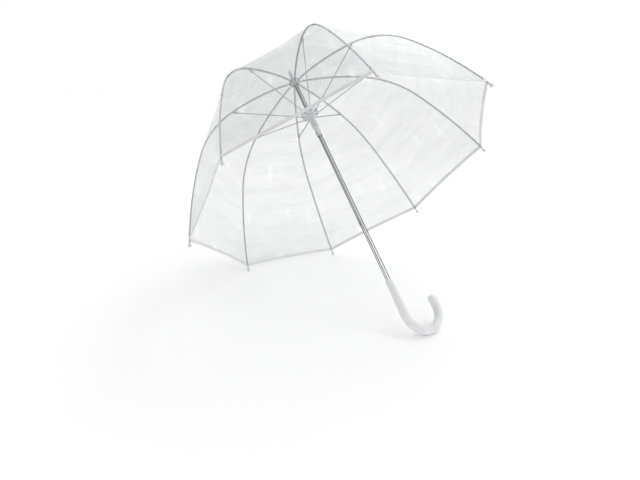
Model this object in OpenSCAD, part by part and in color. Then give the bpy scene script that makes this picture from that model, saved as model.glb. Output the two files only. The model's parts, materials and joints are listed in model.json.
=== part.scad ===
// Clear bubble umbrella, open, lying on the floor on two rib tips and the bend of its hook.
// Every piece is drawn in the umbrella's own frame: +Z up the shaft, the crown's wire ring at z = 0.
// at_rest() then lays the whole umbrella down, so that z = 0 is the floor.

/* [Canopy] */
// Number of ribs, film panels and stretchers
ribs = 8; // [8:8]
// Radius of the wire ring in the crown that the ribs hinge on
crown_ring_r = 10; // [9.5:0.5:11]
// Angle of a rib where it leaves the crown
rib_start_angle = -4; // [-8:1:0]
// Length of the rib's flat top arc, up to the stretcher's lug
top_arc_len = 185; // [175:1:190]
// Angle that the top arc turns through
top_arc_turn = 18; // [14:1:20]
// Length of the rib's shoulder arc
shoulder_arc_len = 165; // [150:1:175]
// Angle that the shoulder arc turns through
shoulder_arc_turn = 40; // [36:1:44]
// Length of the rib's side arc, down to the centre of the ball tip
side_arc_len = 244; // [235:1:260]
// Angle that the side arc turns through
side_arc_turn = 13; // [10:1:16]
// Distance along the shoulder arc to the point where the rib flexes as it folds
flex_at = 62; // [50:1:75]
// Diameter of the rib and stretcher wire
wire_d = 2.5; // [2:0.1:2.8]
// Diameter of the ball on each rib's tip
ball_d = 8; // [7:0.5:9]
// Length of rib that shows below the film's hem
tip_len = 12; // [11:1:24]
// Thickness of the film
film_t = 0.25; // [0.2:0.05:0.4]

/* [Shaft and runner] */
// Outer diameter of the shaft tube
shaft_d = 11; // [10:0.5:11]
// Wall thickness of the shaft tube
shaft_wall = 0.6; // [0.5:0.1:0.8]
// Height of the stretchers' pivot ring on the open umbrella, below the crown
runner_ring_z = -114; // [-120:1:-108]
// Radius of the stretchers' pivot ring in the runner
runner_ring_r = 20; // [19:0.5:21]
// Distance of the stretcher's pivot below the rib's centre line
lug_drop = 4; // [3.5:0.1:4.5]
// Height of the lower catch's slot, at its top
lower_slot_z = -443; // [-446:1:-442]

/* [Handle] */
// Height of the handle's upper end
handle_top_z = -617; // [-625:1:-605]
// Height at which the handle's straight part turns into the hook
hook_start_z = -700; // [-720:1:-690]
// Centre line radius of the hook
hook_r = 50; // [44:1:56]
// Angle that the hook turns through
hook_turn = 190; // [175:1:200]
// Diameter of the handle at its upper end
handle_top_d = 18; // [17:0.5:20]
// Diameter of the handle's hook
handle_d = 21; // [19:0.5:22]

/* [Resting place] */
// Distance of the crown from the middle of the umbrella's box, along the floor
crown_x = -222; // [-300:0.1:-200]

/* [Hidden] */
$fn = 48;

// Fits and gaps
eps = 0.05;
run_fit = 0.06;
free_gap = 0.35;

// Wire and tube radii
wire_r = wire_d / 2;
ball_r = ball_d / 2;
shaft_r = shaft_d / 2;
bore_r = shaft_r + run_fit;
tube_inner_r = shaft_r - shaft_wall;
handle_r = handle_d / 2;

// Ribs, numbered clockwise as seen from above; ribs 2 and 3 rest on the floor
pitch = 360 / ribs;
function rib_azimuth(k) = 180 + 1.5 * pitch - pitch * (k - 1);

// A point on a rib at distance s from its pivot, as [radius, height, heading].
// The three arcs join with a common tangent and all turn downwards.
function arc_point(from, s, len, turn) =
    let (r = len / (turn * PI / 180), h = from[2] - turn * s / len)
    [from[0] + r * (sin(from[2]) - sin(h)), from[1] + r * (cos(h) - cos(from[2])), h];
rib_start = [crown_ring_r, 0, rib_start_angle];
lug_root = arc_point(rib_start, top_arc_len, top_arc_len, top_arc_turn);
shoulder_end = arc_point(lug_root, shoulder_arc_len, shoulder_arc_len, shoulder_arc_turn);
function rib_point(s) =
    s <= top_arc_len ? arc_point(rib_start, s, top_arc_len, top_arc_turn)
    : s <= top_arc_len + shoulder_arc_len
    ? arc_point(lug_root, s - top_arc_len, shoulder_arc_len, shoulder_arc_turn)
    : arc_point(shoulder_end, s - top_arc_len - shoulder_arc_len, side_arc_len, side_arc_turn);
flex_s = top_arc_len + flex_at;
rib_len = top_arc_len + shoulder_arc_len + side_arc_len;
flex_point = rib_point(flex_s);
tip_point = rib_point(rib_len);
hem_s = rib_len - tip_len;

// Crown
crown_r = 13;
crown_hub_r = 7.2;
crown_top_z = 3;
crown_bottom_z = -6;
crown_slot_w = 3.6;
ring_wire_r = 0.9;
eye_r = 2.4;
eye_w = 2.8;
cap_r = 16;
cap_z = 3.7;
cap_t = 1.5;

// Stop pin across the tube, just above the runner
stop_pin_r = 1.2;
stop_pin_len = 17;

// Flex hinge at a rib's shoulder
knuckle_r = 1.5;
knuckle_w = 1.2;
knuckle_pin_r = 0.5;
knuckle_reach = 3.3;
knuckle_bar_t = 2;
cheek_t = 0.6;

// Film panels, straight across between two ribs
film_gap = 2.3;
seam_gap = 0.2;
film_start = 7;
film_split_gap = 0.3;
film_steps = 24;

// Stretcher
lug_t = 1.6;
lug_eye_r = 2.1;
lug_root_w = 3.2;
clip_len = 7;
clip_r = 1.75;
rivet_r = 0.8;
fork_len = 8;
fork_t = 0.8;
lug_pivot = [
    lug_root[0] + lug_drop * sin(lug_root[2]),
    lug_root[1] - lug_drop * cos(lug_root[2])
];
stretcher_angle = atan2(runner_ring_z - lug_pivot[1], runner_ring_r - lug_pivot[0]);
stretcher_len = norm([runner_ring_r - lug_pivot[0], runner_ring_z - lug_pivot[1]]);
saddle_gap = ring_wire_r + free_gap;
saddle_t = 1.5;
saddle_w = 3;
saddle_arc = 120;
saddle_back = 250;
arm_offset = 3.4;

// Runner, with its notched flange at the stretchers' ring
flange_r = 24;
flange_hub_r = 16.2;
flange_t = 9;
flange_slot_w = 4.4;
sleeve_r = 9.5;
sleeve_len = 42;
neck_r = 7.6;
neck_len = 74;
window_w = 4;
window_top = 62;
window_len = 9;

// Catches: flat springs that swing on a pin in the tube and look out of a slot
catch_t = 2.2;
catch_slot_w = 3;
catch_slot_len = 26;
catch_pin_r = 0.8;
catch_pin_y = -1.6;
catch_arm_t = 1.6;
catch_reach = 3;
upper_catch_press = 15;
lower_pin_z = lower_slot_z - catch_slot_len + 3;
upper_pin_z = runner_ring_z - window_top - window_len - 10;

// Handle
collar_len = 12;
handle_bore_len = 26;
hook_tail = 6;

// The tilt at which ball tips 2 and 3 and the hook's bend all touch the floor
tip_x = tip_point[0] * cos(pitch / 2);
rise = tip_point[1] - hook_start_z + hook_r;
tilt = atan2(rise, tip_x) + asin((handle_r - ball_r) / norm([tip_x, rise]));
crown_z = (hook_r - hook_start_z) * cos(tilt) + handle_r;

module at_rest() {
    translate([crown_x, 0, crown_z])
        rotate([0, -tilt, 0])
            children();
}

module in_rib_plane(k) {
    rotate([0, 0, rib_azimuth(k)])
        children();
}

// Places children in the rib's plane at a point, with +X along a heading
module at_heading(p, heading) {
    translate([p[0], 0, p[1]])
        rotate([0, -heading, 0])
            children();
}

// A cylinder across the rib's plane, centred on it
module cross_pin(r, len) {
    rotate([90, 0, 0])
        cylinder(r = r, h = len, center = true);
}

// A straight rod along +X
module rod(r, len) {
    rotate([0, 90, 0])
        cylinder(r = r, h = len);
}

// A bent rod that follows one arc of the rib from distance s to s + len
module arc_rod(s, len, arc_len, turn) {
    from = rib_point(s);
    r = arc_len / (turn * PI / 180);
    swept = turn * len / arc_len;
    translate([from[0] + r * sin(from[2]), 0, from[1] - r * cos(from[2])])
        rotate([90, 0, 0])
            rotate([0, 0, from[2] + 90 - swept])
                rotate_extrude(angle = swept)
                    translate([r, 0])
                        circle(r = wire_r);
}

module shaft_tube() {
    color("gainsboro")
        at_rest()
            difference() {
                translate([0, 0, handle_top_z - handle_bore_len + 1])
                    cylinder(r = shaft_r, h = crown_top_z - handle_top_z + handle_bore_len - 1);
                translate([0, 0, handle_top_z - handle_bore_len])
                    cylinder(r = tube_inner_r, h = crown_top_z - handle_top_z + handle_bore_len + 1);
                for (pin_z = [lower_pin_z, upper_pin_z]) {
                    translate([-catch_slot_w / 2, -shaft_r - 1, pin_z - 3])
                        cube([catch_slot_w, shaft_r, catch_slot_len]);
                    translate([0, catch_pin_y, pin_z])
                        rotate([0, 90, 0])
                            cylinder(r = catch_pin_r, h = shaft_d, center = true);
                }
                translate([0, 0, runner_ring_z + flange_t])
                    cross_pin(stop_pin_r, shaft_d + 2);
            }
}

module stop_pin() {
    color("silver")
        at_rest()
            translate([0, 0, runner_ring_z + flange_t])
                cross_pin(stop_pin_r, stop_pin_len);
}

module ferrule() {
    stem_len = 20;
    flange_h = 2.5;
    peg_r = 5.5;
    peg_len = 24;
    taper_len = 10;
    end_r = 3.6;
    base_z = cap_z + cap_t;
    color("white")
        at_rest() {
            translate([0, 0, crown_top_z - stem_len])
                cylinder(r = tube_inner_r, h = stem_len + base_z - crown_top_z + eps);
            translate([0, 0, base_z])
                cylinder(r1 = 9, r2 = 7.5, h = flange_h);
            translate([0, 0, base_z + flange_h])
                cylinder(r = peg_r, h = peg_len);
            translate([0, 0, base_z + flange_h + peg_len])
                cylinder(r1 = peg_r, r2 = end_r, h = taper_len);
            translate([0, 0, base_z + flange_h + peg_len + taper_len])
                sphere(r = end_r);
        }
}

module top_cap() {
    color("whitesmoke")
        at_rest()
            translate([0, 0, cap_z])
                difference() {
                    cylinder(r1 = cap_r, r2 = cap_r - 2, h = cap_t);
                    translate([0, 0, -1])
                        cylinder(r = shaft_r, h = cap_t + 2);
                }
}

module crown() {
    color("white")
        at_rest()
            difference() {
                translate([0, 0, crown_bottom_z])
                    cylinder(r = crown_r, h = crown_top_z - crown_bottom_z);
                translate([0, 0, crown_bottom_z - 1])
                    cylinder(r = shaft_r, h = crown_top_z - crown_bottom_z + 2);
                for (k = [1:ribs])
                    in_rib_plane(k)
                        translate([crown_hub_r, -crown_slot_w / 2, crown_bottom_z - 1])
                            cube([crown_r, crown_slot_w, crown_top_z - crown_bottom_z + 2]);
                rotate_extrude()
                    translate([crown_ring_r, 0])
                        circle(r = ring_wire_r);
            }
}

module crown_ring() {
    color("silver")
        at_rest()
            rotate_extrude()
                translate([crown_ring_r, 0])
                    circle(r = ring_wire_r);
}

// The runner: a notched flange for the stretchers, a wide sleeve and a narrow one with a window
module runner() {
    color("white")
        at_rest()
            translate([0, 0, runner_ring_z])
                difference() {
                    union() {
                        translate([0, 0, -flange_t / 2])
                            cylinder(r = flange_r, h = flange_t);
                        translate([0, 0, -sleeve_len])
                            cylinder(r = sleeve_r, h = sleeve_len);
                        translate([0, 0, -neck_len])
                            cylinder(r = neck_r, h = neck_len);
                    }
                    translate([0, 0, -neck_len - 1])
                        cylinder(r = bore_r, h = neck_len + flange_t + 1);
                    for (k = [1:ribs])
                        in_rib_plane(k)
                            translate([flange_hub_r, -flange_slot_w / 2, -flange_t])
                                cube([flange_r, flange_slot_w, 2 * flange_t]);
                    rotate_extrude()
                        translate([runner_ring_r, 0])
                            circle(r = ring_wire_r);
                    translate([-window_w / 2, -neck_r - 1, -window_top - window_len])
                        cube([window_w, neck_r, window_len]);
                }
}

module runner_ring() {
    color("silver")
        at_rest()
            translate([0, 0, runner_ring_z])
                rotate_extrude()
                    translate([runner_ring_r, 0])
                        circle(r = ring_wire_r);
}

module catch_pins() {
    color("silver")
        at_rest()
            for (pin_z = [lower_pin_z, upper_pin_z])
                translate([0, catch_pin_y, pin_z])
                    rotate([0, 90, 0])
                        cylinder(r = catch_pin_r, h = 2 * shaft_r - 1.5, center = true);
}

// A catch's side outline, from its pin upwards; the nose reaches out along -Y.
// step_up puts the nose's square step on top, otherwise it is underneath.
module catch_outline(step_up) {
    nose_y = -shaft_r - catch_reach;
    arm_y = catch_pin_y - catch_arm_t;
    low_z = 8;
    high_z = 18;
    if (step_up)
        polygon([
            [catch_pin_y, 0], [arm_y, 0], [arm_y, low_z], [nose_y, high_z - 4],
            [nose_y, high_z], [catch_pin_y, high_z]
        ]);
    else
        polygon([
            [catch_pin_y, 0], [arm_y, 0], [arm_y, low_z], [nose_y, low_z],
            [nose_y, low_z + 3], [arm_y, high_z], [catch_pin_y, high_z]
        ]);
}

module catch_plate(step_up) {
    difference() {
        union() {
            rotate([90, 0, 90])
                translate([0, 0, -catch_t / 2])
                    linear_extrude(catch_t)
                        catch_outline(step_up);
            translate([0, catch_pin_y, 0])
                rotate([0, 90, 0])
                    cylinder(r = 1.8, h = catch_t, center = true);
        }
        translate([0, catch_pin_y, 0])
            rotate([0, 90, 0])
                cylinder(r = catch_pin_r + run_fit, h = catch_t + 2, center = true);
    }
}

// The upper catch is drawn pressed into the tube, as the runner holds it while it slides
module upper_catch() {
    color("lightgray")
        at_rest()
            translate([0, catch_pin_y, upper_pin_z])
                rotate([-upper_catch_press, 0, 0])
                    translate([0, -catch_pin_y, 0])
                        catch_plate(true);
}

module lower_catch() {
    color("lightgray")
        at_rest()
            translate([0, 0, lower_pin_z])
                catch_plate(false);
}

module handle() {
    straight = handle_top_z - collar_len - hook_start_z;
    end_x = hook_r * (1 - cos(hook_turn));
    end_z = hook_start_z - hook_r * sin(hook_turn);
    color("white")
        at_rest()
            difference() {
                union() {
                    translate([0, 0, handle_top_z - collar_len])
                        cylinder(r = handle_top_d / 2, h = collar_len);
                    translate([0, 0, hook_start_z])
                        cylinder(r1 = handle_r, r2 = handle_top_d / 2, h = straight);
                    translate([0, hook_r, hook_start_z])
                        rotate([90, 0, 90])
                            rotate([0, 0, 180])
                                rotate_extrude(angle = hook_turn)
                                    translate([hook_r, 0])
                                        circle(r = handle_r);
                    translate([0, end_x, end_z])
                        rotate([hook_turn - 180, 0, 0])
                            cylinder(r = handle_r, h = hook_tail);
                    translate([0, end_x, end_z])
                        rotate([hook_turn - 180, 0, 0])
                            translate([0, 0, hook_tail])
                                sphere(r = handle_r);
                }
                translate([0, 0, handle_top_z - handle_bore_len])
                    cylinder(r = shaft_r, h = handle_bore_len + 1);
            }
}

// A flat ring across the rib's plane, round a pin
module ring_plate(r, hole_r, w) {
    difference() {
        cross_pin(r, w);
        cross_pin(hole_r, w + 1);
    }
}

// Upper rib wire: an eye on the crown's ring, a lug for the stretcher and half the flex hinge
module rib_top(k) {
    eye_root = 1.7;
    color("whitesmoke")
        at_rest()
            in_rib_plane(k) {
                translate([crown_ring_r, 0, 0])
                    ring_plate(eye_r, ring_wire_r + 0.2, eye_w);
                arc_rod(eye_root, top_arc_len - eye_root, top_arc_len, top_arc_turn);
                arc_rod(top_arc_len, flex_at - knuckle_reach, shoulder_arc_len, shoulder_arc_turn);
                at_heading(lug_root, lug_root[2]) {
                    translate([-clip_len / 2, 0, 0])
                        rod(clip_r, clip_len);
                    translate([-lug_root_w / 2, -lug_t / 2, rivet_r + free_gap - lug_drop])
                        cube([lug_root_w, lug_t, lug_drop - rivet_r - free_gap]);
                    translate([0, 0, -lug_drop])
                        ring_plate(lug_eye_r, rivet_r + run_fit, lug_t);
                }
                at_heading(flex_point, flex_point[2]) {
                    translate([-knuckle_reach - 1, -knuckle_w / 2, -knuckle_bar_t / 2])
                        cube([knuckle_reach + 0.2, knuckle_w, knuckle_bar_t]);
                    ring_plate(knuckle_r, knuckle_pin_r + run_fit, knuckle_w);
                }
            }
}

// Lower rib wire: a small fork and pin on the flex hinge, then the curved wire to the ball
module rib_side(k) {
    cheek_y = knuckle_w / 2 + free_gap;
    color("whitesmoke")
        at_rest()
            in_rib_plane(k) {
                arc_rod(flex_s + knuckle_reach, shoulder_arc_len - flex_at - knuckle_reach,
                    shoulder_arc_len, shoulder_arc_turn);
                arc_rod(top_arc_len + shoulder_arc_len, side_arc_len - ball_r, side_arc_len, side_arc_turn);
                at_heading(flex_point, flex_point[2]) {
                    for (side = [-1, 1])
                        translate([0, side * (cheek_y + cheek_t / 2), 0]) {
                            cross_pin(knuckle_r, cheek_t);
                            translate([0, -cheek_t / 2, -knuckle_bar_t / 2])
                                cube([knuckle_reach + 1, cheek_t, knuckle_bar_t]);
                        }
                    cross_pin(knuckle_pin_r, 2 * cheek_y + cheek_t);
                }
            }
}

// White plastic ball with a socket over the end of the rib
module ball_tip(k) {
    socket_r = 2.4;
    socket_len = 9;
    wire_end = 3.5;
    color("white")
        at_rest()
            in_rib_plane(k)
                at_heading(tip_point, tip_point[2])
                    difference() {
                        union() {
                            sphere(r = ball_r);
                            translate([-socket_len, 0, 0])
                                rod(socket_r, socket_len);
                        }
                        translate([-socket_len - 1, 0, 0])
                            rod(wire_r + eps, socket_len + 1 - wire_end);
                    }
}

// Stretcher: a fork on the rib's lug, a straight wire and an open saddle round the runner's ring
module stretcher(k) {
    cheek_y = lug_t / 2 + free_gap;
    foot = [stretcher_len - fork_len, arm_offset];
    arm_tilt = atan2(foot[1], foot[0]);
    color("whitesmoke")
        at_rest()
            in_rib_plane(k) {
                at_heading(lug_pivot, stretcher_angle) {
                    for (side = [-1, 1])
                        translate([0, side * (cheek_y + fork_t / 2), 0]) {
                            cross_pin(lug_eye_r, fork_t);
                            translate([0, -fork_t / 2, -wire_r])
                                cube([fork_len, fork_t, wire_d]);
                        }
                    translate([fork_len - 3, -cheek_y - fork_t, -wire_r])
                        cube([4, 2 * (cheek_y + fork_t), wire_d]);
                    cross_pin(rivet_r, 2 * (cheek_y + fork_t) + 1);
                    translate([fork_len - 1, 0, 0])
                        rotate([0, -arm_tilt, 0])
                            rod(wire_r, norm(foot) + 2);
                }
                translate([runner_ring_r, 0, runner_ring_z])
                    rotate([90, 0, 0])
                        rotate([0, 0, saddle_back - saddle_arc / 2])
                            rotate_extrude(angle = saddle_arc)
                                translate([saddle_gap, -saddle_w / 2])
                                    square([saddle_t, saddle_w]);
            }
}

// Film panel k fills the space between rib k and rib k + 1, and is straight across.
function panel_azimuth(k) = rib_azimuth(k) - pitch / 2;

// A point on the panel's edge along a rib, in the frame of the panel's middle; side is -1 or 1
function panel_point(s, out, side) =
    let (
        p = rib_point(s),
        r = p[0] - out * sin(p[2]),
        z = p[1] + out * cos(p[2])
    )
    [r * cos(pitch / 2), side * (r * sin(pitch / 2) - seam_gap), z];

module panel_shell(s0, s1, steps) {
    skins = [film_gap, film_gap + film_t];
    points = [
        for (i = [0:steps], out = skins, side = [-1, 1])
            panel_point(s0 + (s1 - s0) * i / steps, out, side)
    ];
    inner = [for (i = [0:steps - 1]) [4 * i, 4 * i + 1, 4 * i + 5, 4 * i + 4]];
    outer = [for (i = [0:steps - 1]) [4 * i + 3, 4 * i + 2, 4 * i + 6, 4 * i + 7]];
    left = [for (i = [0:steps - 1]) [4 * i, 4 * i + 4, 4 * i + 6, 4 * i + 2]];
    right = [for (i = [0:steps - 1]) [4 * i + 3, 4 * i + 7, 4 * i + 5, 4 * i + 1]];
    start = [[1, 0, 2, 3]];
    end = [[4 * steps, 4 * steps + 1, 4 * steps + 3, 4 * steps + 2]];
    polyhedron(points, concat(inner, outer, left, right, start, end));
}

module film_top(k) {
    color("lightcyan", 0.35)
        at_rest()
            rotate([0, 0, panel_azimuth(k)])
                panel_shell(film_start, flex_s - film_split_gap, film_steps);
}

module film_side(k) {
    color("lightcyan", 0.35)
        at_rest()
            rotate([0, 0, panel_azimuth(k)])
                panel_shell(flex_s, hem_s, film_steps);
}

shaft_tube();
ferrule();
top_cap();
crown();
crown_ring();
stop_pin();
handle();
catch_pins();
upper_catch();
lower_catch();
runner();
runner_ring();
for (k = [1:ribs]) {
    rib_top(k);
    rib_side(k);
    ball_tip(k);
    stretcher(k);
    film_top(k);
    film_side(k);
}
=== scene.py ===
"""Looks of the clear bubble umbrella, built round its CAD frame, in metres and in its coordinates."""

import json
import math
import random

import bpy
import numpy as np
from mathutils import Matrix, Vector, noise


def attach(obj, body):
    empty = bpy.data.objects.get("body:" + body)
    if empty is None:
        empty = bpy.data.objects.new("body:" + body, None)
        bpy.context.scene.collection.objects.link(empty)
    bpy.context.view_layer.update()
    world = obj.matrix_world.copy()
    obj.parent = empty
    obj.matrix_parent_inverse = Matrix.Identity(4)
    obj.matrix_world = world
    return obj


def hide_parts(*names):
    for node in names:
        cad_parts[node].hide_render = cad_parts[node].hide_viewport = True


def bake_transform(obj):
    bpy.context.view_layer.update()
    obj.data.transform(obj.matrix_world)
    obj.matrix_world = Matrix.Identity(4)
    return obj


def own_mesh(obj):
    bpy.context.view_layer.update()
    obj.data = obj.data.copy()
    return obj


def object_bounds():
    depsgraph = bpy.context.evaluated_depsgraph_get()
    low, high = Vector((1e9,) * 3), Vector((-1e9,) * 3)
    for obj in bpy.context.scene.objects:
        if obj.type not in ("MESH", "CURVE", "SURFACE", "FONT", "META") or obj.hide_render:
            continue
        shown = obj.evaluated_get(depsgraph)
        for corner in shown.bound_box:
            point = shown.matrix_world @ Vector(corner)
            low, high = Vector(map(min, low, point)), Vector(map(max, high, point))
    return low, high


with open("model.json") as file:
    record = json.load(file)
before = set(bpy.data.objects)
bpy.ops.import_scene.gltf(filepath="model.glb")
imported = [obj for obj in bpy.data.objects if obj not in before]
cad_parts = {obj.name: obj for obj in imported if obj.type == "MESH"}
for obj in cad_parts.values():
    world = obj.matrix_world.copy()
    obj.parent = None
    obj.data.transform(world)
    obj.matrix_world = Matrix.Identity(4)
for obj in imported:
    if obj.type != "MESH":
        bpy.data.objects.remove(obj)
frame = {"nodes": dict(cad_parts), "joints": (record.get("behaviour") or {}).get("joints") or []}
cad_low, cad_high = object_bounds()
joints = {j["name"]: j for j in frame["joints"]}

# The rib's line, as the CAD part draws it: three arcs that join with a common tangent
RIBS = 8
HALF_PITCH = math.pi / RIBS
RING_R = 0.010
START_HEADING = math.radians(-4)
TOP_ARC, TOP_TURN = 0.185, math.radians(18)
SHOULDER_ARC, SHOULDER_TURN = 0.165, math.radians(40)
SIDE_ARC, SIDE_TURN = 0.244, math.radians(13)
SIDE_START = TOP_ARC + SHOULDER_ARC
FLEX_S = TOP_ARC + 0.062
TIP_LEN = 0.012
HEM_S = SIDE_START + SIDE_ARC - TIP_LEN
FILM_START_S = 0.007

# Film: its height over the rib's centre line, thickness, mesh and flat sizes
LIFT = 0.0021
FILM_T = 0.0002
FILM_COLUMNS = 23
TOP_ROWS, SIDE_ROWS = 66, 96

# Welded seams over the ribs
SEAM_START_S = FILM_START_S + 0.004
SEAM_HALF_W = 0.0032
SEAM_T = 0.0003
SEAM_RISE = 0.0004
SEAM_ROWS, SEAM_COLUMNS = 120, 7
# Near the crown the seam narrows to this share of the rib's distance from the shaft
SEAM_TAPER = 0.16

# Hem binding: its width and thickness, its overhang, and how far the hem rises between two ribs
HEM_W = 0.0075
HEM_T = 0.0011
HEM_OVERHANG = 0.0004
HEM_RISE = 0.003
HEM_PROFILE = (0.45, 0.75, 0.9, 0.95, 1, 1, 0.95, 0.8, 0.35)

# Thread ties: their distances along the rib, the half axes of a loop and the thread's radius
TIES = {"top": (0.055, 0.13, 0.205), "side": (0.30, 0.39, 0.48, 0.565)}
TIE_LOOP = (0.0026, 0.0021)
TIE_LIFT = 0.0011
TIE_SHIFTS = (-0.0006, 0.0004)
THREAD_R = 0.00028

# The umbrella's crown, shaft direction and rib directions
up = -Vector(joints["runner_slide"]["axis"]).normalized()
pivots = [Vector(joints[f"rib_{k}_fold"]["pos_m"]) for k in range(1, RIBS + 1)]
crown = sum(pivots, Vector()) / RIBS
outward = [(p - crown - up * up.dot(p - crown)).normalized() for p in pivots]


def arc(start, s, length, turn):
    """Radius, height and heading at distance s along an arc that turns down."""
    radius = length / turn
    heading = start[2] - turn * s / length
    return (
        start[0] + radius * (np.sin(start[2]) - np.sin(heading)),
        start[1] + radius * (np.cos(heading) - np.cos(start[2])),
        heading,
    )


RIB_START = (RING_R, 0.0, START_HEADING)
LUG = arc(RIB_START, TOP_ARC, TOP_ARC, TOP_TURN)
SHOULDER_END = arc(LUG, SHOULDER_ARC, SHOULDER_ARC, SHOULDER_TURN)


def rib_line(s):
    """Radius, height and heading of a rib at the distances s from its pivot."""
    s = np.asarray(s, float)
    top = arc(RIB_START, s, TOP_ARC, TOP_TURN)
    shoulder = arc(LUG, s - TOP_ARC, SHOULDER_ARC, SHOULDER_TURN)
    side = arc(SHOULDER_END, s - SIDE_START, SIDE_ARC, SIDE_TURN)
    return [
        np.where(s <= TOP_ARC, a, np.where(s <= SIDE_START, b, c))
        for a, b, c in zip(top, shoulder, side)
    ]


def on_rib(k, s, lift=0.0):
    """Points over rib k (1 to 8) at distances s, lifted outwards from its centre line."""
    r, z, heading = rib_line(s)
    r, z = r - lift * np.sin(heading), z + lift * np.cos(heading)
    out = np.array(outward[(k - 1) % RIBS])
    return np.array(crown) + r[..., None] * out + z[..., None] * np.array(up)


def smooth_step(x):
    """0 below 0, 1 above 1 and a smooth rise between."""
    x = np.clip(x, 0, 1)
    return x * x * (3 - 2 * x)


def hump(x):
    """1 at 0, falling smoothly to 0 on both sides."""
    return np.exp(-x * x)


class Panel:
    """The film between rib k and the next one, with creases of its own."""

    CREASES = 16
    # How far the film hangs inwards halfway between its ribs: everywhere, at the shoulder, on the side
    SAG, SHOULDER_SAG, SIDE_SAG = 0.0010, 0.0050, 0.0022
    SHOULDER_S, SHOULDER_SPREAD = 0.255, 0.060
    SIDE_S, SIDE_SPREAD = 0.30, 0.10
    # From the crown to here the film goes from taut to its full sag
    TAUT_UNTIL = 0.09
    # Tension wrinkles fan out of these corners, two at the hem and two at the shoulder
    WRINKLE_S = 0.235
    CORNERS = ((HEM_S, -1), (HEM_S, 1), (WRINKLE_S, -1), (WRINKLE_S, 1))
    WRINKLE_REACH, WRINKLE_GAIN, WRINKLE_SPREAD = 0.05, 2.2, 0.9
    # Slow unevenness: its depth, its scales across and along the panel, and its step between panels
    UNEVEN, UNEVEN_ACROSS, UNEVEN_ALONG = 0.0022, 1.6, 14.0
    UNEVEN_STEP, UNEVEN_LAYER = 7.3, 0.3

    def __init__(self, k):
        self.k = k
        draw = random.Random(100 + k)
        self.middle = (outward[k - 1] + outward[k % RIBS]).normalized()
        # Each crease: place along the panel, slant, depth and width
        self.creases = [
            (
                draw.uniform(0.05, HEM_S - 0.02),
                draw.uniform(-0.012, 0.012),
                draw.uniform(0.0003, 0.0008) * draw.choice((-1, 1)),
                draw.uniform(0.003, 0.006),
            )
            for _ in range(self.CREASES)
        ]
        # Each corner's wrinkles: phase, number to the radian and depth
        self.rays = [
            (draw.uniform(0, 6.28), draw.uniform(9, 14), draw.uniform(0.0004, 0.0009))
            for _ in self.CORNERS
        ]
        self.offset = self.UNEVEN_STEP * k

    def uneven(self, u, s):
        """Smooth noise over the panel, from -1 to 1."""
        across = np.ravel(u) * self.UNEVEN_ACROSS + self.offset
        along = np.ravel(s) * self.UNEVEN_ALONG
        points = [Vector((a, b, self.UNEVEN_LAYER)) for a, b in zip(across, along)]
        return np.array([noise.noise(point) for point in points]).reshape(np.shape(u))

    def push(self, u, s):
        """How far the film stands outwards of the straight line between its two ribs."""
        across = 1 - u * u
        shoulder = self.SHOULDER_SAG * hump((s - self.SHOULDER_S) / self.SHOULDER_SPREAD)
        side = self.SIDE_SAG * smooth_step((s - self.SIDE_S) / self.SIDE_SPREAD)
        total = -across * (self.SAG + shoulder + side)
        for at, slant, depth, width in self.creases:
            total = total + across * depth * hump((s - at - slant * u) / width)
        for (s0, u0), (phase, count, depth) in zip(self.CORNERS, self.rays):
            half_width = self.WRINKLE_SPREAD * rib_line(s0)[0] * math.sin(HALF_PITCH)
            dx, dy = (u - u0) * half_width, s - s0
            ripple = np.sin(np.arctan2(dy, dx * -u0) * count + phase)
            fade = np.exp(-np.hypot(dx, dy) / self.WRINKLE_REACH)
            total = total + across * depth * self.WRINKLE_GAIN * ripple * fade
        total = total + across * self.UNEVEN * self.uneven(u, s)
        return total * smooth_step(s / self.TAUT_UNTIL)

    def surface(self, u, s):
        """Points of the film at u (-1 on rib k to 1 on the next) and at distance s."""
        left, right = on_rib(self.k, s, LIFT), on_rib(self.k + 1, s, LIFT)
        flat = left * ((1 - u) / 2)[..., None] + right * ((1 + u) / 2)[..., None]
        heading = rib_line(s)[2]
        slope = np.arctan2(np.sin(heading), np.cos(heading) * math.cos(HALF_PITCH))[..., None]
        normal = np.cos(slope) * np.array(up) - np.sin(slope) * np.array(self.middle)
        return flat + normal * self.push(u, s)[..., None]


def grid_normals(points):
    """Unit normals of a grid of points."""
    along = np.gradient(points, axis=0)
    across = np.gradient(points, axis=1)
    normals = np.cross(across, along)
    return normals / np.linalg.norm(normals, axis=-1, keepdims=True)


def add_object(name, data):
    """A new object in the scene, for a mesh, light or camera."""
    added = bpy.data.objects.new(name, data)
    bpy.context.scene.collection.objects.link(added)
    return added


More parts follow.
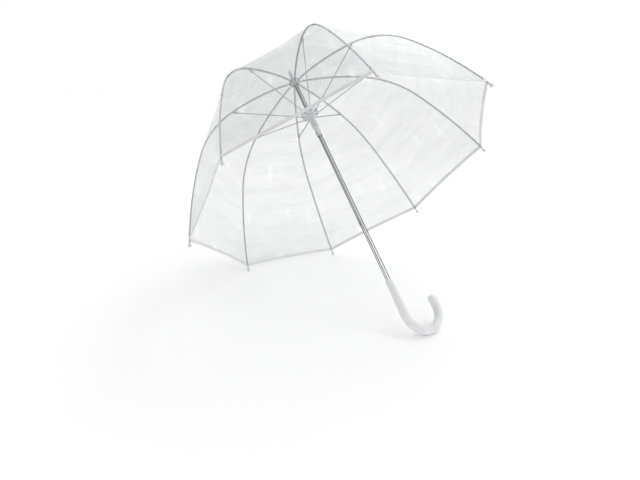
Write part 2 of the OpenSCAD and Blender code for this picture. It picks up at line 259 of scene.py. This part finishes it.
def shell(name, points, thickness, uv):
    """A closed thin shell about a grid of points. thickness is a number, or one for each row."""
    rows, columns = points.shape[:2]
    half = np.broadcast_to(np.asarray(thickness, float) / 2, (rows,))[:, None, None]
    normals = grid_normals(points)
    skins = [points + normals * half, points - normals * half]
    verts = np.concatenate([skin.reshape(-1, 3) for skin in skins])
    back = rows * columns
    index = np.arange(back).reshape(rows, columns)
    a, b, c, d = index[:-1, :-1], index[:-1, 1:], index[1:, 1:], index[1:, :-1]
    front = np.stack([a, b, c, d], -1).reshape(-1, 4)
    faces = [tuple(f) for f in front] + [tuple(f[::-1] + back) for f in front]
    rim = (
        list(index[0, ::-1])
        + list(index[1:, 0])
        + list(index[-1, 1:])
        + list(index[-2:0:-1, -1])
    )
    for p, q in zip(rim, rim[1:] + rim[:1]):
        faces.append((int(p), int(q), int(q) + back, int(p) + back))
    mesh = bpy.data.meshes.new(name)
    mesh.from_pydata(verts.tolist(), [], faces)
    layer = mesh.uv_layers.new(name="UVMap")
    flat_uv = np.concatenate([uv.reshape(-1, 2)] * 2)
    corners = np.zeros(len(mesh.loops), np.int32)
    mesh.loops.foreach_get("vertex_index", corners)
    layer.data.foreach_set("uv", flat_uv[corners].astype(np.float32).ravel())
    mesh.validate()
    mesh.polygons.foreach_set("use_smooth", [True] * len(mesh.polygons))
    mesh.set_sharp_from_angle(angle=math.radians(50))
    return add_object(name, mesh)


def ring_mesh(name, rings):
    """Small closed rings, each given as (centre, normal, side direction, half axes, wire radius)."""
    verts, faces = [], []
    around, section = 28, 10
    for centre, normal, side, (half_a, half_b), wire in rings:
        other = normal.cross(side).normalized()
        base = len(verts)
        for i in range(around):
            angle = 2 * math.pi * i / around
            spoke = side * (half_a * math.cos(angle)) + other * (half_b * math.sin(angle))
            for j in range(section):
                turn = 2 * math.pi * j / section
                out, along = wire * math.cos(turn), wire * math.sin(turn)
                verts.append(centre + spoke + spoke.normalized() * out + normal * along)
        for i in range(around):
            here, after = base + i * section, base + (i + 1) % around * section
            for j in range(section):
                j2 = (j + 1) % section
                faces.append((here + j, after + j, after + j2, here + j2))
    mesh = bpy.data.meshes.new(name)
    mesh.from_pydata(verts, [], faces)
    mesh.polygons.foreach_set("use_smooth", [True] * len(mesh.polygons))
    return add_object(name, mesh)


# ---------------------------------------------------------------- materials


class Nodes:
    """A short way to build the nodes of a material or world."""

    def __init__(self, owner, shader="BSDF_PRINCIPLED"):
        self.owner = owner
        owner.use_nodes = True
        self.tree = owner.node_tree
        self.shader = next(n for n in self.tree.nodes if n.type == shader)

    def add(self, kind, inputs=(), **settings):
        """A new node. Each input is a value, or another node's socket to link to it."""
        node = self.tree.nodes.new(kind)
        for key, value in settings.items():
            setattr(node, key, value)
        for key, value in dict(inputs).items():
            if isinstance(value, bpy.types.NodeSocket):
                self.tree.links.new(value, node.inputs[key])
            else:
                node.inputs[key].default_value = value
        return node

    def link(self, source, target):
        self.tree.links.new(source, self.shader.inputs[target])

    def set(self, **values):
        for key, value in values.items():
            self.shader.inputs[key.replace("_", " ")].default_value = value

    def ramp(self, fac, stops):
        """A smooth ramp through (position, grey or colour) stops."""
        node = self.add("ShaderNodeValToRGB", {"Fac": fac})
        node.color_ramp.interpolation = "EASE"
        while len(node.color_ramp.elements) < len(stops):
            node.color_ramp.elements.new(0.5)
        for element, (position, value) in zip(node.color_ramp.elements, stops):
            element.position = position
            grey = value if isinstance(value, tuple) else (value, value, value)
            element.color = (*grey, 1)
        return node.outputs["Color"]

    def noise(self, vector, scale, detail=3, roughness=0.5):
        inputs = {"Vector": vector, "Scale": scale, "Detail": detail, "Roughness": roughness}
        return self.add("ShaderNodeTexNoise", inputs).outputs["Fac"]

    def math(self, operation, *values):
        inputs = dict(enumerate(values))
        return self.add("ShaderNodeMath", inputs, operation=operation).outputs[0]

    def mix(self, factor, first, second, blend="MIX"):
        """A colour mix. Sockets 6 and 7 are its two colours."""
        inputs = {"Factor": factor, 6: first, 7: second}
        node = self.add("ShaderNodeMix", inputs, data_type="RGBA", blend_type=blend)
        return node.outputs[2]

    def coords(self, output="Object", scale=(1, 1, 1), turn=0.0):
        source = self.add("ShaderNodeTexCoord").outputs[output]
        inputs = {"Vector": source, "Scale": scale, "Rotation": (0, 0, turn)}
        return self.add("ShaderNodeMapping", inputs).outputs[0]

    def bump(self, height, strength, distance):
        inputs = {"Height": height, "Strength": strength, "Distance": distance}
        self.link(self.add("ShaderNodeBump", inputs).outputs[0], "Normal")


def film_material(name, least, most, tint):
    """Clear film: almost invisible face on, greyer edge on, with soft creases and painted highlights in
    bright streaks.

    least and most are how much it covers, face on and edge on.
    """
    m = Nodes(bpy.data.materials.new(name))
    # Broad folds, fine creases, noise for painted slanted highlights and an even grain, stretched along
    # the film's own axes
    wide = m.noise(m.coords("UV", (5, 26, 1)), 1.0, 3, 0.55)
    fine = m.noise(m.coords("UV", (14, 120, 1), 0.12), 1.0, 4, 0.6)
    highlight_noise = m.noise(m.coords("UV", (42, 9, 1), 0.6), 1.0, 2, 0.5)
    grain = m.noise(m.coords("UV", (30, 30, 1)), 1.0, 4, 0.6)
    facing = m.add("ShaderNodeLayerWeight", {"Blend": 0.35}).outputs["Facing"]
    cover = m.math("MULTIPLY_ADD", m.math("POWER", facing, 2.6), most - least, least)
    for marks, stops, gain in (
        (wide, [(0.35, 0.0), (0.75, 1.0)], 0.045),
        (fine, [(0.55, 0.0), (0.78, 1.0)], 0.05),
    ):
        cover = m.math("MULTIPLY_ADD", m.ramp(marks, stops), gain, cover)
    m.link(m.math("MINIMUM", cover, 0.9), "Alpha")
    # Painted highlights: the base colour turns from the grey tint to white in slanted streaks
    painted_highlights = m.ramp(highlight_noise, [(0.58, 0.0), (0.72, 1.0)])
    m.link(m.mix(painted_highlights, (*tint, 1), (1, 1, 1, 1)), "Base Color")
    m.set(Roughness=0.09, IOR=1.53, Specular_IOR_Level=0.8)
    m.bump(m.math("ADD", fine, grain), 0.35, 0.001)
    return m.owner


def plastic_material(name, colour, roughness, grain, depth, coat=0.0):
    """Moulded plastic with a faint flow mottle and a slightly uneven gloss.

    grain is the scale of its fine bumps, and depth their height.
    """
    m = Nodes(bpy.data.materials.new(name))
    place = m.coords()
    dark, light = (tuple(min(1.0, c * share) for c in colour) for share in (0.95, 1.03))
    m.link(m.ramp(m.noise(place, 38.0, 3), [(0.3, dark), (0.7, light)]), "Base Color")
    gloss = [(0.3, roughness * 0.8), (0.7, roughness * 1.25)]
    m.link(m.ramp(m.noise(place, 220.0, 2), gloss), "Roughness")
    m.set(IOR=1.5, Coat_Weight=coat, Coat_Roughness=0.05)
    m.bump(m.noise(place, grain, 3), 0.12, depth)
    return m.owner


def metal_material(name, bright, dark, roughness, metallic=1.0, bend=(0.45, 0.8)):
    """Plated metal with a painted reflection: its colour goes dark at the rims, as plating does in a
    white studio with open sides.

    bend is where bright turns to dark, from 0 face on to 1 edge on.
    """
    m = Nodes(bpy.data.materials.new(name))
    place = m.coords()
    facing = m.add("ShaderNodeLayerWeight", {"Blend": 0.5}).outputs["Facing"]
    # Painted reflection: the base colour goes from bright face on to dark at the rims
    painted_rim_reflection = m.ramp(facing, [(bend[0], bright), (bend[1], dark)])
    blotch = m.ramp(m.noise(place, 90.0, 3), [(0.3, 0.92), (0.7, 1.0)])
    m.link(m.mix(1.0, painted_rim_reflection, blotch, "MULTIPLY"), "Base Color")
    gloss = [(0.3, roughness * 0.7), (0.7, roughness * 1.4)]
    m.link(m.ramp(m.noise(place, 500.0, 3), gloss), "Roughness")
    m.set(Metallic=metallic)
    m.bump(m.noise(place, 900.0, 2), 0.08, 0.0002)
    return m.owner


film_look = film_material("clear_film", 0.115, 0.20, (0.42, 0.43, 0.44))
seam_look = film_material("welded_seam", 0.30, 0.70, (0.72, 0.73, 0.75))
hem_look = plastic_material("white_binding", (0.70, 0.70, 0.71), 0.42, 900.0, 0.0004)
handle_look = plastic_material(
    "gloss_white_handle", (0.76, 0.76, 0.77), 0.16, 300.0, 0.0002, coat=0.5
)
plastic_look = plastic_material(
    "white_plastic", (0.62, 0.62, 0.63), 0.28, 420.0, 0.0003, coat=0.15
)
thread_look = plastic_material("white_thread", (0.60, 0.60, 0.60), 0.6, 2400.0, 0.0003)
wire_look = metal_material(
    "coated_wire", 0.50, 0.12, 0.28, metallic=0.75, bend=(0.30, 0.85)
)
chrome_look = metal_material("chrome", 0.92, 0.015, 0.07, bend=(0.19, 0.42))
steel_look = metal_material("spring_steel", 0.60, 0.18, 0.28)

CAD_LOOKS = {
    "shaft_tube": chrome_look,
    "stop_pin": steel_look,
    "catch_pins": steel_look,
    "upper_catch": steel_look,
    "lower_catch": steel_look,
    "crown_ring": steel_look,
    "runner_ring": steel_look,
    "handle": handle_look,
    "rib_": wire_look,
    "stretcher_": wire_look,
}
for node_name, node in frame["nodes"].items():
    found = [look for start, look in CAD_LOOKS.items() if node_name.startswith(start)]
    node.data.materials.clear()
    node.data.materials.append(found[0] if found else plastic_look)

# ---------------------------------------------------------------- film, seams and hem


def finish_piece(piece, look):
    """Gives piece its material."""
    piece.data.materials.append(look)


def fold_with(piece, body):
    """piece rides on the film's body, with a mesh of its own."""
    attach(piece, body)
    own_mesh(piece)


def film_uv(u, s):
    """Across and along the film in metres, so that creases keep their scale."""
    r = rib_line(s)[0]
    return np.stack([u * r * math.sin(HALF_PITCH), s], -1)


def hem_edge(u):
    """Where the film ends at u: a little higher between the ribs than on them."""
    return HEM_S - HEM_RISE * (1 - u * u)


def panel_shell(name, panel, rows, first, last, thickness):
    """A shell over the panel from distance first to last, which are given for each column."""
    columns = np.linspace(-1, 1, FILM_COLUMNS)
    u = np.broadcast_to(columns, (rows, FILM_COLUMNS))
    s = first + np.linspace(0, 1, rows)[:, None] * (last - first)
    return shell(name, panel.surface(u, s), thickness, film_uv(u, s))


def make_canopy(k):
    """The top and side film between rib k and the next, and the side's hem binding."""
    panel = Panel(k)
    hem_line = hem_edge(np.linspace(-1, 1, FILM_COLUMNS))
    flex_line = np.full(FILM_COLUMNS, FLEX_S)

    top = panel_shell(f"canopy_top_{k}", panel, TOP_ROWS, FILM_START_S, flex_line, FILM_T)
    finish_piece(top, film_look)
    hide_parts(f"film_top_{k}")
    fold_with(top, f"film_top_{k}")

    side = panel_shell(f"canopy_side_{k}", panel, SIDE_ROWS, FLEX_S, hem_line, FILM_T)
    finish_piece(side, film_look)
    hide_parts(f"film_side_{k}")
    fold_with(side, f"film_side_{k}")

    profile = HEM_T * np.array(HEM_PROFILE)
    hem = panel_shell(
        f"hem_{k}", panel, len(profile), hem_line - HEM_W, hem_line + HEM_OVERHANG, profile
    )
    finish_piece(hem, hem_look)
    fold_with(hem, f"film_side_{k}")


def make_seam(k):
    """The welded seam over rib k: a narrow roof of double film along the rib's line."""
    s = np.linspace(SEAM_START_S, HEM_S, SEAM_ROWS)
    ridge = on_rib(k, s, LIFT + SEAM_RISE)
    width = np.minimum(SEAM_HALF_W, SEAM_TAPER * rib_line(s)[0])
    toward = [on_rib(k + step, s, LIFT) - on_rib(k, s, LIFT) for step in (-1, 1)]
    toward = [t / np.linalg.norm(t, axis=-1, keepdims=True) for t in toward]
    across = np.linspace(-1, 1, SEAM_COLUMNS)
    lines = [ridge + toward[int(c >= 0)] * (abs(c) * width)[:, None] for c in across]
    u = np.broadcast_to(across * SEAM_HALF_W, (SEAM_ROWS, SEAM_COLUMNS))
    uv = np.stack([u, np.broadcast_to(s[:, None], u.shape)], -1)
    seam = shell(f"seam_{k}", np.stack(lines, 1), SEAM_T, uv)
    finish_piece(seam, seam_look)
    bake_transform(seam)


def make_ties(k, part):
    """Thread ties that hold the seam to the top or side of rib k."""
    rings = []
    across = Vector(outward[k - 1]).cross(up)
    for at in TIES[part]:
        centre = Vector(on_rib(k, np.array(at), TIE_LIFT))
        step = on_rib(k, np.array(at + 0.001)) - on_rib(k, np.array(at))
        tangent = Vector(step).normalized()
        side = tangent.cross(across).normalized()
        for shift in TIE_SHIFTS:
            rings.append((centre + tangent * shift, tangent, side, TIE_LOOP, THREAD_R))
    ties = ring_mesh(f"ties_{part}_{k}", rings)
    finish_piece(ties, thread_look)
    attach(ties, f"rib_{part}_{k}")


for k in range(1, RIBS + 1):
    make_canopy(k)
    make_seam(k)
    make_ties(k, "top")
    make_ties(k, "side")

# ---------------------------------------------------------------- floor, light and camera

FLOOR_HALF = 30.0
FLOOR_CORNERS = ((-1, -1), (1, -1), (1, 1), (-1, 1))
floor_mesh = bpy.data.meshes.new("floor")
floor_mesh.from_pydata(
    [(x * FLOOR_HALF, y * FLOOR_HALF, 0) for x, y in FLOOR_CORNERS], [], [(0, 1, 2, 3)]
)
add_object("floor", floor_mesh)
paper = Nodes(bpy.data.materials.new("white_paper"))
mottle = paper.noise(paper.coords(), 3.0, 2)
paper.link(paper.ramp(mottle, [(0.3, 0.985), (0.7, 0.992)]), "Base Color")
# The lamps light the paper near the umbrella. Further off it glows a little, so that it stays as white
reach = paper.add("ShaderNodeVectorMath", {0: paper.coords()}, operation="LENGTH")
glow = {
    "Value": reach.outputs["Value"],
    "From Min": 0.5,
    "From Max": 2.4,
    "To Min": 0.033,
    "To Max": 0.112,
}
paper.link(paper.add("ShaderNodeMapRange", glow).outputs[0], "Emission Strength")
paper.set(Roughness=0.9, Specular_IOR_Level=0.1, Emission_Color=(1, 1, 1, 1))
floor_mesh.materials.append(paper.owner)

studio = Nodes(bpy.data.worlds.new("studio"), "BACKGROUND")
bpy.context.scene.world = studio.owner
direction = studio.add("ShaderNodeTexCoord").outputs["Generated"]


def sky_patch(toward, edge, middle):
    """1 around a direction of the sky, and 0 elsewhere. edge and middle are cosines."""
    centre_line = Vector(toward).normalized()
    aim = studio.add(
        "ShaderNodeVectorMath", {0: direction, 1: centre_line}, operation="DOT_PRODUCT"
    )
    inputs = {"Value": aim.outputs["Value"], "From Min": edge, "From Max": middle}
    patch = studio.add("ShaderNodeMapRange", inputs, interpolation_type="SMOOTHSTEP")
    return patch.outputs[0]


# White all round, with a dark flag that the shaft mirrors and a bright card that the upper film does
FLAG_SHADE, CARD_GAIN = -0.94, 0.35
flag = sky_patch((-0.10, -0.72, 0.69), 0.86, 0.94)
card = sky_patch((-0.60, 0.67, 0.43), 0.90, 0.96)
flagged = studio.math("MULTIPLY_ADD", flag, FLAG_SHADE, 1.0)
studio.link(studio.math("MULTIPLY_ADD", card, CARD_GAIN, flagged), "Strength")
studio.set(Color=(1, 1, 1, 1))

middle = (cad_low + cad_high) / 2


def softbox(name, place, size, power):
    """A round lamp at a place from the middle of the umbrella, aimed at that middle."""
    light = bpy.data.lights.new(name, "AREA")
    light.shape = "DISK"
    light.size = size
    light.energy = power
    lamp = add_object(name, light)
    lamp.location = middle + Vector(place)
    lamp.rotation_mode = "QUATERNION"
    lamp.rotation_quaternion = (-Vector(place)).to_track_quat("-Z", "Y")


softbox("key", (-0.35, 1.0, 2.1), 0.8, 9.0)
softbox("fill", (1.9, 0.2, 1.2), 1.2, 2.5)

# The camera's place from the crown, its view and its right, along the front, side and up of the umbrella
CAMERA_PLACE = (0.7576, -0.6633, -0.8270)
CAMERA_LOOK = (-0.7683, 0.5384, 0.3461)
CAMERA_RIGHT = (0.4152, 0.8308, -0.3706)
camera_data = bpy.data.cameras.new("camera")
camera_data.lens = 24.74
camera_data.sensor_width = 36
camera = add_object("camera", camera_data)
side_axis = Vector((0, 1, 0))
axes = Matrix((side_axis.cross(up), side_axis, up)).transposed()
look = axes @ Vector(CAMERA_LOOK)
right = axes @ Vector(CAMERA_RIGHT)
right = (right - look * right.dot(look)).normalized()
turned = Matrix((right, right.cross(look), -look)).transposed()
place = crown + axes @ Vector(CAMERA_PLACE)
camera.matrix_world = Matrix.Translation(place) @ turned.to_4x4()
bpy.context.scene.camera = camera
bpy.context.scene.view_settings.view_transform = "Standard"
